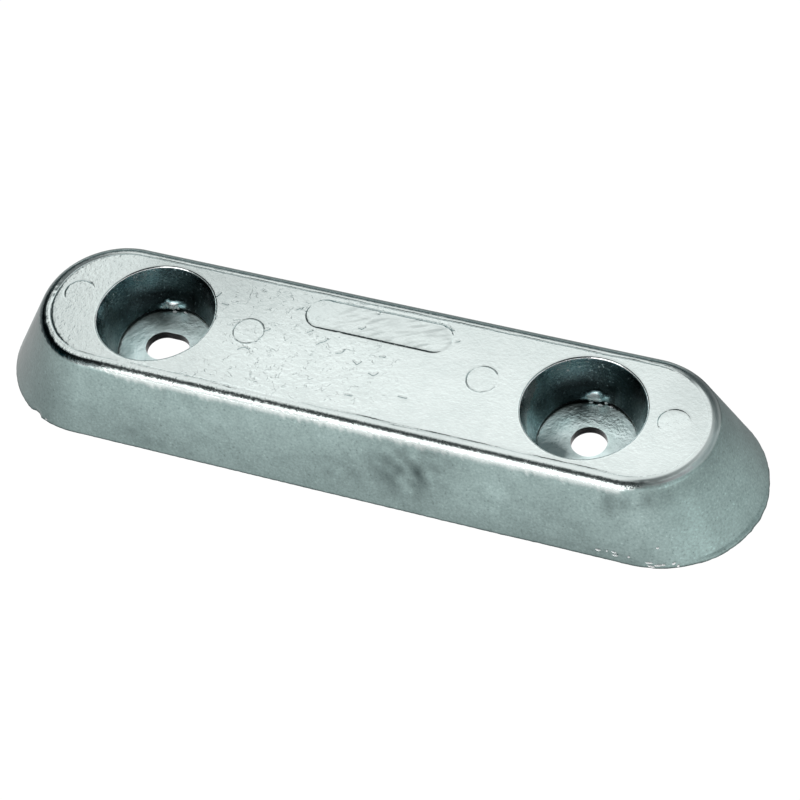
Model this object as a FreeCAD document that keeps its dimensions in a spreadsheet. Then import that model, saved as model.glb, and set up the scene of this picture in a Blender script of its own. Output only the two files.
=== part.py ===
import FreeCAD, Part
import math
import os

import Sketcher

# A bolt-on sacrificial anode: a bar of zinc with drafted sides and round ends, cast round a flat steel strap.
# Two deep tapered cups reach down to the strap, and the hull studs pass through the strap's hole and slot.
# The origin is the middle of the flat hull face. X runs along the bar, and Z is up, away from the hull.

# Driving sizes, in millimetres.
SIZES = [
    ("base_length", 255.0, "length of the casting at the hull face"),
    ("base_width", 66.5, "width of the casting at the hull face"),
    ("top_length", 224.3, "length of the outer face, to its edges before they are rounded"),
    ("top_width", 49.6, "width of the outer face, to its edges before they are rounded"),
    ("casting_height", 28.6, "height of the outer face above the hull face"),
    ("top_edge_radius", 3.8, "rounding between the sides and the outer face"),
    ("stud_spacing", 144.0, "distance between the two hull studs, and so between cups and between holes"),
    ("cup_shift", -1.25, "place of the cup pair's middle along the bar"),
    ("cup_mouth_diameter", 39.0, "cup at the outer face"),
    ("cup_floor_diameter", 30.6, "cup where it meets the strap"),
    ("cup_rim_radius", 0.8, "rounding of the cup's rim"),
    ("well_mouth_diameter", 31.0, "well under the strap, at the hull face"),
    ("well_top_diameter", 28.0, "well under the strap, where it meets the strap"),
    ("strap_length", 190.0, "length of the flat bar"),
    ("strap_width", 35.0, "width of the flat bar"),
    ("strap_thickness", 3.0, "thickness of the flat bar"),
    ("strap_height", 8.4, "height of the strap's underside above the hull face"),
    ("strap_shift", -0.5, "place of the strap's middle along the bar"),
    ("stud_hole_diameter", 11.5, "round hole, and the width of the slot"),
    ("slot_length", 14.8, "slot from end to end"),
    ("field_length", 49.5, "raised blank field on the outer face"),
    ("field_width", 12.0, "raised blank field"),
    ("field_rise", 0.4, "height of the field above the outer face"),
    ("field_offset", 13.6, "distance of the field from the bar's centre line"),
    ("mark_diameter", 10.0, "round ejector marks on the outer face"),
    ("mark_depth", 0.25, "depth of the ejector marks"),
    ("mark_offset", 1.7, "distance of the marks from the bar's centre line"),
    ("outer_mark_spacing", 200.0, "distance between the two marks beyond the cups"),
    ("inner_mark_spacing", 78.0, "distance between the two marks between the cups"),
]

# Numbers that Sketcher uses for the origin and the horizontal axis, and for the points of a shape.
HORIZONTAL_AXIS = -1
ORIGIN_POINT = (-1, 1)
START, END, CENTRE = 1, 2, 3

doc = FreeCAD.newDocument("SacrificialAnode")

sheet = doc.addObject("Spreadsheet::Sheet", "Sizes")
for row, (alias, value, meaning) in enumerate(SIZES, start=1):
    sheet.set(f"A{row}", meaning)
    sheet.set(f"B{row}", str(value))
    sheet.setAlias(f"B{row}", alias)
doc.recompute()


def size(alias):
    """The value of one cell of the sheet, in millimetres."""
    return float(sheet.get(alias))


def new_body(name):
    """A body whose label names its file."""
    body = doc.addObject("PartDesign::Body", name)
    body.Label = name
    return body


def datum(body, role):
    """The origin plane or axis of a body with that role."""
    return next(item for item in body.Origin.OriginFeatures if item.Role == role)


def sketch_on(body, name, role, **offsets):
    """A sketch on an origin plane of the body, moved in its own x, y and z by expressions of the sheet."""
    sketch = body.newObject("Sketcher::SketchObject", name)
    sketch.AttachmentSupport = [(datum(body, role), "")]
    sketch.MapMode = "FlatFace"
    for axis, expression in offsets.items():
        sketch.setExpression(f"AttachmentOffset.Base.{axis}", expression)
    doc.recompute()
    return sketch


def constrain(sketch, name, expression, *reference):
    """Adds a named constraint whose value follows an expression of the sheet."""
    index = sketch.addConstraint(Sketcher.Constraint(*reference))
    sketch.renameConstraint(index, name)
    sketch.setExpression(f"Constraints.{name}", expression)


def draw_obround(sketch, length, width):
    """A slot-shaped outline along x, centred on the sketch's origin: round ends joined by straight sides."""
    radius = size(width) / 2
    half_straight = (size(length) - size(width)) / 2
    right = FreeCAD.Vector(half_straight, 0, 0)
    left = FreeCAD.Vector(-half_straight, 0, 0)
    up = FreeCAD.Vector(0, radius, 0)
    axis = FreeCAD.Vector(0, 0, 1)
    quarter = math.pi / 2
    right_end, back_side, left_end, front_side = sketch.addGeometry(
        [
            Part.ArcOfCircle(Part.Circle(right, axis, radius), -quarter, quarter),
            Part.LineSegment(right + up, left + up),
            Part.ArcOfCircle(Part.Circle(left, axis, radius), quarter, 3 * quarter),
            Part.LineSegment(left - up, right - up),
        ],
        False,
    )
    outline = [right_end, back_side, left_end, front_side]
    for one, other in zip(outline, outline[1:] + outline[:1]):
        sketch.addConstraint(Sketcher.Constraint("Tangent", one, END, other, START))
    sketch.addConstraint(Sketcher.Constraint("Horizontal", back_side))
    sketch.addConstraint(Sketcher.Constraint("PointOnObject", right_end, CENTRE, HORIZONTAL_AXIS))
    sketch.addConstraint(Sketcher.Constraint("Symmetric", left_end, CENTRE, right_end, CENTRE, *ORIGIN_POINT))
    constrain(sketch, "radius", f"Sizes.{width} / 2", "Radius", right_end, radius)
    straight = ("DistanceX", left_end, CENTRE, right_end, CENTRE, 2 * half_straight)
    constrain(sketch, "straight", f"Sizes.{length} - Sizes.{width}", *straight)


def draw_rectangle(sketch, length, width):
    """A rectangle along x, centred on the sketch's origin."""
    half_length, half_width = size(length) / 2, size(width) / 2
    corners = [
        FreeCAD.Vector(-half_length, -half_width, 0),
        FreeCAD.Vector(half_length, -half_width, 0),
        FreeCAD.Vector(half_length, half_width, 0),
        FreeCAD.Vector(-half_length, half_width, 0),
    ]
    sides = [Part.LineSegment(a, b) for a, b in zip(corners, corners[1:] + corners[:1])]
    front, right, back, left = sketch.addGeometry(sides, False)
    for one, other in ((front, right), (right, back), (back, left), (left, front)):
        sketch.addConstraint(Sketcher.Constraint("Coincident", one, END, other, START))
    for line in (front, back):
        sketch.addConstraint(Sketcher.Constraint("Horizontal", line))
    for line in (right, left):
        sketch.addConstraint(Sketcher.Constraint("Vertical", line))
    sketch.addConstraint(Sketcher.Constraint("Symmetric", front, START, right, END, *ORIGIN_POINT))
    constrain(sketch, "length", f"Sizes.{length}", "DistanceX", front, START, front, END, 2 * half_length)
    constrain(sketch, "width", f"Sizes.{width}", "DistanceY", right, START, right, END, 2 * half_width)


def draw_circle(sketch, diameter, x="0", y="0"):
    """A circle whose diameter and centre follow expressions of the sheet."""
    number = sketch.GeometryCount
    shape = Part.Circle(FreeCAD.Vector(0, 0, 0), FreeCAD.Vector(0, 0, 1), size(diameter) / 2)
    circle = sketch.addGeometry(shape)
    constrain(sketch, f"diameter{number}", f"Sizes.{diameter}", "Diameter", circle, size(diameter))
    constrain(sketch, f"x{number}", x, "DistanceX", *ORIGIN_POINT, circle, CENTRE, 0)
    constrain(sketch, f"y{number}", y, "DistanceY", *ORIGIN_POINT, circle, CENTRE, 0)


def evaluate(holder, expression):
    """The number that an expression of the sheet gives now."""
    return float(holder.evalExpression(expression))


def draw_half_taper(sketch, low_diameter, high_diameter, low, high):
    """Half of a tapered plug's section, to be turned about the sketch's vertical axis.
    low and high are expressions for the heights of its two ends."""
    half_low, half_high = size(low_diameter) / 2, size(high_diameter) / 2
    bottom, top = evaluate(sketch, low), evaluate(sketch, high)
    corners = [
        FreeCAD.Vector(0, bottom, 0),
        FreeCAD.Vector(half_low, bottom, 0),
        FreeCAD.Vector(half_high, top, 0),
        FreeCAD.Vector(0, top, 0),
    ]
    sides = [Part.LineSegment(a, b) for a, b in zip(corners, corners[1:] + corners[:1])]
    floor, wall, mouth, axis = sketch.addGeometry(sides, False)
    for one, other in ((floor, wall), (wall, mouth), (mouth, axis), (axis, floor)):
        sketch.addConstraint(Sketcher.Constraint("Coincident", one, END, other, START))
    for line in (floor, mouth):
        sketch.addConstraint(Sketcher.Constraint("Horizontal", line))
    constrain(sketch, "axis_low", "0", "DistanceX", *ORIGIN_POINT, floor, START, 0)
    constrain(sketch, "axis_high", "0", "DistanceX", *ORIGIN_POINT, mouth, END, 0)
    low_radius = ("DistanceX", floor, START, floor, END, half_low)
    constrain(sketch, "low_radius", f"Sizes.{low_diameter} / 2", *low_radius)
    high_radius = ("DistanceX", mouth, END, mouth, START, half_high)
    constrain(sketch, "high_radius", f"Sizes.{high_diameter} / 2", *high_radius)
    constrain(sketch, "low", low, "DistanceY", *ORIGIN_POINT, floor, START, bottom)
    constrain(sketch, "high", high, "DistanceY", *ORIGIN_POINT, mouth, END, top)


def feature(body, kind, name, profile, **bound):
    """A PartDesign feature on a sketch, with the named properties bound to the sheet."""
    made = body.newObject(f"PartDesign::{kind}", name)
    made.Profile = profile
    profile.Visibility = False
    for prop, expression in bound.items():
        made.setExpression(prop, expression)
    return made


def rounded(body, name, base, picked, radius):
    """A fillet on those edges of the last feature that a test picks."""
    doc.recompute()
    names = [f"Edge{i}" for i, edge in enumerate(base.Shape.Edges, start=1) if picked(edge)]
    fillet = body.newObject("PartDesign::Fillet", name)
    fillet.Base = (base, names)
    fillet.setExpression("Radius", radius)
    doc.recompute()
    return fillet


def pair_along_bar(body, name, original):
    """Repeats a feature once, a stud spacing further along the bar."""
    pattern = body.newObject("PartDesign::LinearPattern", name)
    pattern.Originals = [original]
    pattern.Direction = (datum(body, "X_Axis"), [""])
    pattern.setExpression("Length", "Sizes.stud_spacing")
    pattern.Occurrences = 2
    body.Tip = pattern
    doc.recompute()
    return pattern


def turned_pair(body, name, low_diameter, high_diameter, low, high):
    """Two tapered round hollows, one at each cup's place."""
    section = sketch_on(body, f"{name}Section", "XZ_Plane", x="Sizes.cup_shift - Sizes.stud_spacing / 2")
    draw_half_taper(section, low_diameter, high_diameter, low, high)
    hollow = feature(body, "Groove", f"{name}Left", section)
    hollow.ReferenceAxis = (section, ["V_Axis"])
    hollow.Angle = 360
    doc.recompute()
    return pair_along_bar(body, f"{name}Pair", hollow)


# The zinc casting. Its sides are ruled between two obround outlines, so that the long sides have a small
# draft and the ends a large one.
STRAP_TOP = "Sizes.strap_height + Sizes.strap_thickness"
OUTER_FACE = "Sizes.casting_height"
casting = new_body("zinc_casting")
outer_outline = sketch_on(casting, "OuterOutline", "XY_Plane", z=OUTER_FACE)
draw_obround(outer_outline, "top_length", "top_width")
hull_outline = sketch_on(casting, "HullOutline", "XY_Plane")
draw_obround(hull_outline, "base_length", "base_width")
flanks = feature(casting, "AdditiveLoft", "Flanks", outer_outline)
flanks.Sections = [hull_outline]
flanks.Ruled = True
hull_outline.Visibility = False


def at_outer_face(edge):
    """True for an edge that lies wholly in the outer face."""
    return abs(edge.BoundBox.ZMin - size("casting_height")) < 1e-6


def is_cup_rim(edge):
    """True for the circle where a cup meets the outer face."""
    if not at_outer_face(edge) or edge.Curve.TypeId != "Part::GeomCircle":
        return False
    return abs(edge.Curve.Radius - size("cup_mouth_diameter") / 2) < 1e-6


crown = rounded(casting, "TopEdge", flanks, at_outer_face, "Sizes.top_edge_radius")

# The cups, drawn down to the strap by tapered core pins, with a softly rounded rim.
cups = turned_pair(casting, "Cup", "cup_floor_diameter", "cup_mouth_diameter", STRAP_TOP, OUTER_FACE)
rims = rounded(casting, "CupRims", cups, is_cup_rim, "Sizes.cup_rim_radius")

# The wells that the lower core pins leave under the strap, with room for the foot of each stud.
wells = turned_pair(casting, "Well", "well_mouth_diameter", "well_top_diameter", "0", "Sizes.strap_height")

# The space that the strap fills.
strap_bed = sketch_on(casting, "StrapBedOutline", "XY_Plane", x="Sizes.strap_shift", z=STRAP_TOP)
draw_rectangle(strap_bed, "strap_length", "strap_width")
bed = feature(casting, "Pocket", "StrapBed", strap_bed, Length="Sizes.strap_thickness")
doc.recompute()

# Low relief on the outer face: a blank raised field and four round ejector marks.
field_outline = sketch_on(
    casting, "FieldOutline", "XY_Plane", x="Sizes.cup_shift", y="Sizes.field_offset", z=OUTER_FACE
)
draw_obround(field_outline, "field_length", "field_width")
field = feature(casting, "Pad", "Field", field_outline, Length="Sizes.field_rise")
doc.recompute()
mark_circles = sketch_on(
    casting, "MarkCircles", "XY_Plane", x="Sizes.cup_shift", y="Sizes.mark_offset", z=OUTER_FACE
)
for spacing in ("outer_mark_spacing", "inner_mark_spacing"):
    for side in ("-", ""):
        draw_circle(mark_circles, "mark_diameter", x=f"{side}Sizes.{spacing} / 2")
marks = feature(casting, "Pocket", "EjectorMarks", mark_circles, Length="Sizes.mark_depth")
doc.recompute()

# The cast-in strap: a flat steel bar with a round hole at one end and a slot at the other.
strap = new_body("steel_strap")
bar_outline = sketch_on(strap, "BarOutline", "XY_Plane", x="Sizes.strap_shift", z="Sizes.strap_height")
draw_rectangle(bar_outline, "strap_length", "strap_width")
bar = feature(strap, "Pad", "Bar", bar_outline, Length="Sizes.strap_thickness")
doc.recompute()
hole_outline = sketch_on(
    strap, "HoleOutline", "XY_Plane", x="Sizes.strap_shift + Sizes.stud_spacing / 2", z=STRAP_TOP
)
draw_circle(hole_outline, "stud_hole_diameter")
hole = feature(strap, "Pocket", "RoundHole", hole_outline, Length="Sizes.strap_thickness")
doc.recompute()
slot_outline = sketch_on(
    strap, "SlotOutline", "XY_Plane", x="Sizes.strap_shift - Sizes.stud_spacing / 2", z=STRAP_TOP
)
draw_obround(slot_outline, "slot_length", "stud_hole_diameter")
slot = feature(strap, "Pocket", "SlottedHole", slot_outline, Length="Sizes.strap_thickness")
doc.recompute()

# Nothing is written unless every object is sound and every cut has taken metal away.
broken = [item.Name for item in doc.Objects if {"Invalid", "Error"} & set(item.State)]
if broken:
    raise RuntimeError(f"these objects failed: {broken}")
for steps in ((flanks, crown, cups, rims, wells, bed), (field, marks), (bar, hole, slot)):
    for before, after in zip(steps, steps[1:]):
        if after.Shape.Volume >= before.Shape.Volume:
            raise RuntimeError(f"{after.Name} takes nothing away")
os.makedirs("parts", exist_ok=True)
for body in (casting, strap):
    shape = body.Shape
    if shape.isNull() or not shape.isValid() or len(shape.Solids) != 1:
        raise RuntimeError(f"{body.Label} isn't one valid solid")
    shape.exportStep(f"parts/{body.Label}.step")
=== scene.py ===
from math import atan2, copysign, cos, degrees, exp, hypot, pi, radians, sin, tan

import bmesh
import bpy
from mathutils import Matrix, Vector, noise


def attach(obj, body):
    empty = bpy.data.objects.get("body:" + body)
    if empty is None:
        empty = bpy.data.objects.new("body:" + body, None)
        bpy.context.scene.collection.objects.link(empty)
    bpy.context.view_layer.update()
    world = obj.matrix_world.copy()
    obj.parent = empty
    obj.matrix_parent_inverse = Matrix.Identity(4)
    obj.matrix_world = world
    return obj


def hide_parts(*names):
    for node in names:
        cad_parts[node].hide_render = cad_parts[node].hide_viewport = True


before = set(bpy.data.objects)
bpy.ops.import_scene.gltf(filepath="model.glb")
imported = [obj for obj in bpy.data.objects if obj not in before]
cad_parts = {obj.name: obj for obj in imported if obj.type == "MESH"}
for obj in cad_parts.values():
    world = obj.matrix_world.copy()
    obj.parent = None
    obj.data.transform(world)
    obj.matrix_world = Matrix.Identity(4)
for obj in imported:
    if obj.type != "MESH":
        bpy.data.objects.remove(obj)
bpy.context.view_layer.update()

# ZINC CASTING
# The anode itself: zinc poured into an iron die and left as it came out. It has drafted sides, a rolled upper edge,
# two deep cups made by core pins, ejector marks and a raised field, and flash along the foot where the die closes.

# Sizes in millimetres. A round-ended shape has a half length between the centres of its ends, and a radius.
HEIGHT = 28.6
BASE_HALF = 94.25
BASE_ROUND = 33.25
FACE_HALF = 87.35
FACE_ROUND = 24.8
EDGE = 3.8
BORDER_HALF = 87.3
BORDER_ROUND = 21.5
CUP_X = (-73.25, 70.75)
CUP_MOUTH = 19.5
CUP_FLOOR = 15.3
CUP_RIM = 0.8
WELL_MOUTH = 15.5
WELL_TOP = 14.0
STRAP_LOW = 8.4
STRAP_HIGH = 11.4
STRAP_LONG = 190.0
STRAP_WIDE = 35.0
STRAP_X = -0.5
POCKET_LOW = STRAP_LOW - 0.05
POCKET_HIGH = STRAP_HIGH + 0.02
MARK_RADIUS = 5.0
OUTER_MARKS = ((-101.4, 1.6), (98.75, 1.7))
INNER_MARKS = ((-41.0, 0.8), (37.3, 2.1))
FIELD_X = -1.25
FIELD_Y = 13.6
FIELD_HALF = 18.75
FIELD_ROUND = 6.0
FIELD_RISE = 0.4

# Stages of the loops: below 0 the margin of the hull face, 0 to 1 up the flank, 1 to 2 round the rolled edge, and one
# more for the inner loops, which are those inside the border and of the cups, wells and marks. A grid's points have 0.
UNDERSIDE = -1.0
ROLLED = 2.0
INNER = 3.0

# What each point carries: its end of the bar, its outward direction, its stage, and then its paint, which is how much
# it has of the flank's darker colour, a painted shade, its lightness, mostly painted light and shade, its dullness, the
# drag marks of the edge, and cold flow, which in the cups marks a painted highlight on the splash instead.
bm = bmesh.new()
along = bm.verts.layers.float.new("along")
out_x = bm.verts.layers.float.new("out_x")
out_y = bm.verts.layers.float.new("out_y")
level = bm.verts.layers.float.new("level")
flank = bm.verts.layers.float.new("flank")
tone = bm.verts.layers.float.new("tone")
dull = bm.verts.layers.float.new("dull")
comb = bm.verts.layers.float.new("comb")
flow_and_highlight = bm.verts.layers.float.new("flow_and_highlight")


def once(items):
    """Each item a single time and in order, so that every run builds the same mesh."""
    return list(dict.fromkeys(items))


def outline(place, arc, cuts=0):
    """A closed round-ended loop of edges, placed by its end of the bar and its outward direction."""
    ring = bmesh.ops.create_circle(bm, segments=arc, radius=1.0)["verts"]
    bmesh.ops.rotate(bm, verts=ring, cent=(0, 0, 0), matrix=Matrix.Rotation(pi / arc, 3, "Z"))
    for vert in ring:
        vert[along] = copysign(1, vert.co.x)
        vert[out_x], vert[out_y] = vert.co.x, vert.co.y
    loop = [ring[0]]
    if cuts:
        straights = once(e for v in ring for e in v.link_edges if e.verts[0].co.x * e.verts[1].co.x < 0)
        made = bmesh.ops.subdivide_edges(bm, edges=straights, cuts=cuts)["geom_inner"]
        loop = [next(g for g in made if isinstance(g, bmesh.types.BMVert))]
    for vert in loop:
        for edge in vert.link_edges:
            other = edge.other_vert(vert)
            if other not in loop:
                loop.append(other)
    for vert in loop:
        vert.co = place(vert[along], vert[out_x], vert[out_y])
    return once(edge for vert in loop for edge in vert.link_edges)


def grow(edges, place, stage=INNER):
    """Extrudes a loop once and places the new loop, which it returns."""
    made = bmesh.ops.extrude_edge_only(bm, edges=edges)["geom"]
    for vert in made:
        if isinstance(vert, bmesh.types.BMVert):
            vert.co = place(vert[along], vert[out_x], vert[out_y])
            vert[level] = stage
    return [g for g in made if isinstance(g, bmesh.types.BMEdge)]


def flat(x, y, half, radius, z):
    """A round-ended loop that lies level."""
    return lambda u, nx, ny: Vector((x + u * half + nx * radius, y + ny * radius, z))


def tilt(nx):
    """How far the flank leans from the vertical, which is more round the ends."""
    return atan2(BASE_ROUND - FACE_ROUND + (BASE_HALF - FACE_HALF) * abs(nx), HEIGHT)


def flank_top(nx):
    """The height at which the flank turns into the rolled edge."""
    return HEIGHT - EDGE * (1 - sin(tilt(nx)))


def on_flank(share):
    """A loop on the drafted side, from the foot at 0 to the start of the rolled edge at 1."""

    def place(u, nx, ny):
        z = share * flank_top(nx)
        half = BASE_HALF + (FACE_HALF - BASE_HALF) * z / HEIGHT
        radius = BASE_ROUND + (FACE_ROUND - BASE_ROUND) * z / HEIGHT
        return Vector((u * half + nx * radius, ny * radius, z))

    return place


def on_edge(share):
    """A loop on the rolled edge, from the side at 0 to the face at 1, where it sinks a little."""

    def place(u, nx, ny):
        lean = tilt(nx)
        turn = lean + share * (pi / 2 - lean)
        low = Vector((nx * cos(lean), ny * cos(lean), sin(lean)))
        high = Vector((nx * cos(turn), ny * cos(turn), sin(turn)))
        return on_flank(1.0)(u, nx, ny) + EDGE * (high - low) - Vector((0, 0, 0.06 * share**4))

    return place


def inside_foot(u, nx, ny):
    """A loop on the hull face, just inside the foot."""
    return on_flank(0)(u, nx, ny) - Vector((0.4 * nx, 0.4 * ny, 0))


# The loops lie closest along the foot, for its steps and chips.
LOW_LOOPS = (0.01, 0.025, 0.04, 0.055, 0.07, 0.09, 0.11, 0.13, 0.15, 0.17)
HIGH_LOOPS = 22
EDGE_LOOPS = 12
ring = outline(on_flank(0), 232, 204)
grow(ring, inside_foot, UNDERSIDE)
for share in LOW_LOOPS:
    ring = grow(ring, on_flank(share), share)
for step in range(1, HIGH_LOOPS + 1):
    share = LOW_LOOPS[-1] + (1 - LOW_LOOPS[-1]) * step / HIGH_LOOPS
    ring = grow(ring, on_flank(share), share)
for step in range(1, EDGE_LOOPS + 1):
    ring = grow(ring, on_edge(step / EDGE_LOOPS), 1 + step / EDGE_LOOPS)


def fade(value, start, end):
    """0 at start and before it, 1 at end and after it, and smooth between them."""
    share = min(1.0, max(0.0, (value - start) / (end - start)))
    return share * share * (3 - 2 * share)


def border(offset, front, back):
    """The thin cold shut just inside the rolled edge. It wanders, and is a low ridge at the front left."""

    def place(u, nx, ny):
        spot = Vector((u * BORDER_HALF + nx * BORDER_ROUND, ny * BORDER_ROUND, HEIGHT))
        wander = 0.14 * noise.noise(spot / 8.0) + 0.08 * noise.noise(spot / 1.7)
        deep = (0.95 + 0.6 * noise.noise(spot / 9.0 + Vector((3, 8, 1)))) * (1 - 0.85 * fade(spot.x, 80, 95))
        ridge = deep * fade(spot.x, -25, 15) - 0.35 * fade(spot.x, -85, -70) * (1 - fade(spot.x, -45, -5))
        deep += (ridge - deep) * fade(-ny, 0.8, 0.95) * fade(spot.x, -92, -70)
        reach = offset + wander
        depth = back + (front - back) * fade(-ny, -0.3, 0.3)
        return spot + Vector((nx * reach, ny * reach, -depth * min(1.1, deep)))

    return place


# Each row of the border is its offset outwards, its depth along the front and its depth along the back.
for offset, front, back in (
    (0.3, 0.0, 0.06),
    (0.15, 0.03, 0.13),
    (0.05, 0.2, 0.2),
    (-0.05, 0.2, 0.2),
    (-0.25, 0.1, 0.03),
    (-0.5, 0.0, 0.0),
):
    ring = grow(ring, border(offset, front, back), ROLLED if offset > 0.1 else INNER)


def turned(x, profile, arc):
    """A surface of revolution about an upright axis on the bar's middle line, from radii and heights."""
    ring = outline(flat(x, 0, 0, *profile[0]), arc)
    for radius, z in profile[1:]:
        ring = grow(ring, flat(x, 0, 0, radius, z))


# A cup has a small rounded rim and a drafted wall, which ends in a toe with a crevice between it and the strap. Under
# the strap, a drafted well opens in the hull face.
CUP_TOE = (
    (15.46, 12.3), (15.55, 12.16), (15.72, 12.08), (15.95, 12.05), (16.2, 12.0), (16.3, 11.8), (16.3, POCKET_HIGH)
)
RIM_STEPS = 7
WALL_STEPS = 24
WELL_STEPS = 10
cup_lean = atan2(CUP_MOUTH - CUP_FLOOR, HEIGHT - STRAP_HIGH)
rim_out = CUP_MOUTH + CUP_RIM * tan((pi / 2 - cup_lean) / 2)
cup = []
for step in range(RIM_STEPS + 1):
    turn = (pi / 2 - cup_lean) * step / RIM_STEPS
    cup.append((rim_out - CUP_RIM * sin(turn), HEIGHT - CUP_RIM * (1 - cos(turn))))
wall_top = cup[-1]
wall_foot = (CUP_FLOOR + 0.15, STRAP_HIGH + 1.0)
for step in range(1, WALL_STEPS + 1):
    cup.append(tuple(a + (b - a) * step / WALL_STEPS for a, b in zip(wall_top, wall_foot)))
cup += CUP_TOE
well = [(WELL_TOP, POCKET_LOW)]
for step in range(1, WELL_STEPS + 1):
    share = step / WELL_STEPS
    well.append((WELL_TOP + (WELL_MOUTH - WELL_TOP) * share, STRAP_LOW * (1 - share)))
well.append((WELL_MOUTH + 0.4, 0))
for x in CUP_X:
    turned(x, cup, 160)
    turned(x, well, 120)


def step_ring(x, y, half, radius, arc, cuts, profile):
    """A small step or groove that follows a round-ended line on the face, as offsets and heights."""
    ring = outline(flat(x, y, half, radius + profile[0][0], HEIGHT), arc, cuts)
    for offset, rise in profile[1:]:
        ring = grow(ring, flat(x, y, half, radius + offset, HEIGHT + rise))


# The right outer mark is sunk and the left one a shallow line, the inner ones are grooves, and the field stands up.
RECESS = ((0.34, 0), (0.2, -0.02), (0.0, -0.125), (-0.2, -0.23), (-0.34, -0.25))
SHALLOW = ((0.5, 0), (0.3, -0.02), (0.1, -0.13), (-0.1, -0.15), (-0.3, -0.04), (-0.45, 0.0))
GROOVE = ((0.34, 0), (0.16, -0.02), (0.05, -0.16), (-0.05, -0.16), (-0.16, -0.06), (-0.34, -0.04))
RAISED = (
    (0.34, 0), (0.08, 0.0), (0.0, 0.03), (-0.12, 0.13), (-0.24, 0.21), (-0.38, 0.285), (-0.55, 0.345), (-0.75, 0.385),
    (-0.95, FIELD_RISE),
)
pressed = [(x, y, RECESS if x > 0 else SHALLOW) for x, y in OUTER_MARKS] + [(x, y, GROOVE) for x, y in INNER_MARKS]
for x, y, profile in pressed:
    step_ring(x, y, 0, MARK_RADIUS, 72, 0, profile)
step_ring(FIELD_X, FIELD_Y, FIELD_HALF, FIELD_ROUND, 72, 70, RAISED)


def away(co, x, y, half, radius):
    """Distance outside a round-ended line, less than nothing inside it."""
    return hypot(max(abs(co.x - x) - half, 0), co.y - y) - radius


MARKS = [(x, y, 0, MARK_RADIUS) for x, y in OUTER_MARKS + INNER_MARKS]
FIELD = (FIELD_X, FIELD_Y, FIELD_HALF, FIELD_ROUND)


def crowded(co):
    """Whether a point of the face's grid is too near a line that the face meets."""
    rim = min(away(co, x, 0, 0, rim_out) for x in CUP_X)
    field = away(co, *FIELD)
    margin = -away(co, 0, 0, BORDER_HALF, BORDER_ROUND)
    return (
        margin < 0.85
        or rim < 0.3
        or -1.25 < field < 0.62
        or any(abs(away(co, *mark)) < 0.62 for mark in MARKS)
        or margin < 1.6 and (rim < 1.1 or 0 < field < 1.3)
    )


# The face and the hull face are fine and coarse grids, cut back from every line, and the gaps are filled further on.
face_size = Matrix.Diagonal((BORDER_HALF + BORDER_ROUND, BORDER_ROUND, 1, 1))
face_size = Matrix.Translation((0, 0, HEIGHT)) @ face_size
grid = bmesh.ops.create_grid(bm, x_segments=512, y_segments=101, size=1.0, matrix=face_size)["verts"]
bmesh.ops.delete(bm, geom=[vert for vert in grid if crowded(vert.co)], context="VERTS")
bmesh.ops.delete(bm, geom=[v for v in grid if v.is_valid and not v.link_faces], context="VERTS")

hull_size = Matrix.Diagonal((BASE_HALF + BASE_ROUND, BASE_ROUND, 1, 1))
grid = bmesh.ops.create_grid(bm, x_segments=127, y_segments=33, size=1.0, matrix=hull_size)["verts"]
gone = [
    vert
    for vert in grid
    if away(vert.co, 0, 0, BASE_HALF, BASE_ROUND) > -1.0
    or min(away(vert.co, x, 0, 0, WELL_MOUTH) for x in CUP_X) < 0.8
]
bmesh.ops.delete(bm, geom=gone, context="VERTS")

# The pocket in which the strap lies, open above in the cups and below in the wells.
pocket = Matrix.Diagonal((STRAP_LONG + 0.1, STRAP_WIDE + 0.1, POCKET_HIGH - POCKET_LOW, 1))
pocket = Matrix.Translation((STRAP_X, 0, (POCKET_LOW + POCKET_HIGH) / 2)) @ pocket
bed = bmesh.ops.create_cube(bm, size=1.0, matrix=pocket)["verts"]
middle = (POCKET_LOW + POCKET_HIGH) / 2
lids = once(f for v in bed for f in v.link_faces if abs(f.calc_center_median().z - middle) > 1)
bmesh.ops.delete(bm, geom=lids, context="FACES_ONLY")


def rims(z):
    """The open loops that lie at one height, each with its middle and mean radius."""
    edges = [e for e in bm.edges if len(e.link_faces) < 2 and all(abs(v.co.z - z) < 0.006 for v in e.verts)]
    left = dict.fromkeys(edges)
    found = []
    while left:
        loop = [left.popitem()[0]]
        for edge in loop:
            for vert in edge.verts:
                for other in vert.link_edges:
                    if other in left:
                        del left[other]
                        loop.append(other)
        verts = once(v for e in loop for v in e.verts)
        middle = sum((v.co for v in verts), Vector()) / len(verts)
        found.append((loop, middle, sum((v.co - middle).length for v in verts) / len(verts)))
    return found


def close(loops):
    """Fills between loops that lie at one height."""
    bmesh.ops.triangle_fill(bm, edges=[edge for loop in loops for edge in loop[0]], use_beauty=True)


for x, y, profile in pressed:
    depth = profile[-1][1]
    for vert in bm.verts:
        if abs(vert.co.z - HEIGHT) < 1e-4 and away(vert.co, x, y, 0, MARK_RADIUS) < -0.4:
            vert.co.z += depth
    for z, least, most in ((HEIGHT + depth, 0, MARK_RADIUS), (HEIGHT, MARK_RADIUS, MARK_RADIUS + 2)):
        close([r for r in rims(z) if hypot(r[1].x - x, r[1].y - y) < 1 and least < r[2] < most])
for vert in bm.verts:
    if abs(vert.co.z - HEIGHT) < 1e-4 and away(vert.co, *FIELD) < -0.4:
        vert.co.z += FIELD_RISE
for z in (HEIGHT + FIELD_RISE, HEIGHT, 0.0, POCKET_HIGH, POCKET_LOW):
    close(rims(z))
bmesh.ops.recalc_face_normals(bm, faces=bm.faces)
bm.normal_update()


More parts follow.
